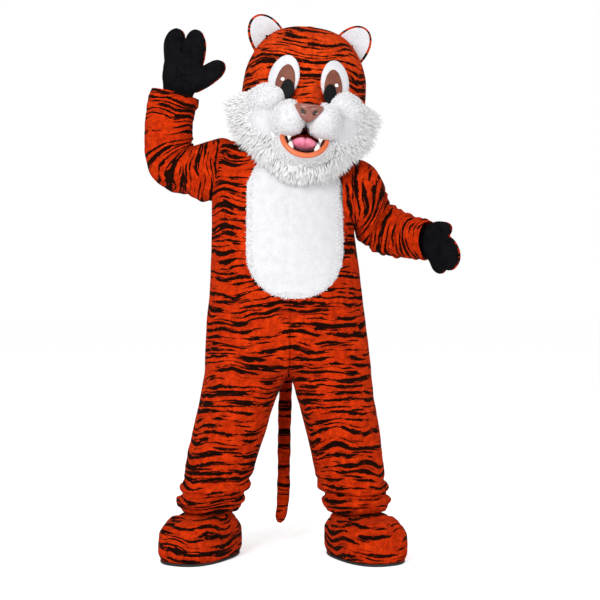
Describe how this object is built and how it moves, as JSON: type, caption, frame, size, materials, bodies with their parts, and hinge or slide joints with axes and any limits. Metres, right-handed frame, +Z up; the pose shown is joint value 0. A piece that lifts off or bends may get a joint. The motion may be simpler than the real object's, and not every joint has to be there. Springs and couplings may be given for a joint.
{
  "type": "tiger mascot costume",
  "caption": "Hollow plush tiger mascot costume: jumpsuit with tail, large head, mitt paws and boot feet, worn pose with one arm raised in a wave.",
  "frame": {"origin": "the mount where the wearer's shoulders hold the jumpsuit, on the centre line, 1.47 m above the soles", "axes": "+Z up, +X to the wearer's left, the costume faces -Y"},
  "size_m": [1.1383, 0.5894, 1.9735],
  "materials": {
    "tiger_plush": "short napped plush, orange with near-black stripes",
    "white_plush": "short white plush",
    "long_fur": "long white fur",
    "black_plush": "short black plush",
    "sole_rubber": "matt black rubber",
    "iris_brown": "painted brown, satin",
    "pupil_black": "black, glossy",
    "glint_white": "white, satin",
    "nose_brown": "moulded brown, glossy",
    "lip_orange": "moulded orange, satin",
    "mouth_lining": "dark red-brown felt",
    "tongue_pink": "pink, satin",
    "tooth_white": "white, satin",
    "zip_tape": "woven zip tape",
    "zip_metal": "worn brass"
  },
  "bodies": {
    "costume": {"front_left": "tiger_plush", "front_right": "tiger_plush", "back_left": "tiger_plush", "back_right": "tiger_plush", "sleeve_left": "tiger_plush", "sleeve_right": "tiger_plush", "tail": "tiger_plush", "head_crown_left": "tiger_plush", "head_crown_right": "tiger_plush", "nose_bridge": "tiger_plush", "ear_back_left": "tiger_plush", "ear_back_right": "tiger_plush", "paw_back_left": "tiger_plush", "paw_back_right": "tiger_plush", "foot_side_left": "tiger_plush", "foot_side_right": "tiger_plush", "foot_upper_left": "tiger_plush", "foot_upper_right": "tiger_plush", "belly": "white_plush", "eye_surround_left": "white_plush", "eye_surround_right": "white_plush", "ear_lining_left": "white_plush", "ear_lining_right": "white_plush", "muzzle_left": "white_plush", "muzzle_right": "white_plush", "cheek_left": "white_plush", "cheek_right": "white_plush", "ruff_left": "long_fur", "ruff_right": "long_fur", "chin": "long_fur", "paw_palm_left": "black_plush", "paw_palm_right": "black_plush", "foot_sole_left": "sole_rubber", "foot_sole_right": "sole_rubber", "iris_left": "iris_brown", "iris_right": "iris_brown", "pupil_left": "pupil_black", "pupil_right": "pupil_black", "glint_left": "glint_white", "glint_right": "glint_white", "nose": "nose_brown", "lip": "lip_orange", "mouth_lining": "mouth_lining", "tongue": "tongue_pink", "tooth_lower_left": "tooth_white", "tooth_lower_right": "tooth_white", "tooth_upper_left": "tooth_white", "tooth_upper_right": "tooth_white", "zip_tape": "zip_tape", "zip_chain": "zip_metal", "zip_slider": "zip_metal"},
    "zip_pull": {"zip_pull": "zip_metal"}
  },
  "joints": [
    {"name": "zip_pull_swing", "type": "hinge", "parent": "costume", "child": "zip_pull", "pos_m": [-0.04983, 0.14635, -0.09361], "axis": [0.9781, 0.2079, 0], "range_deg": [0, 165]}
  ]
}
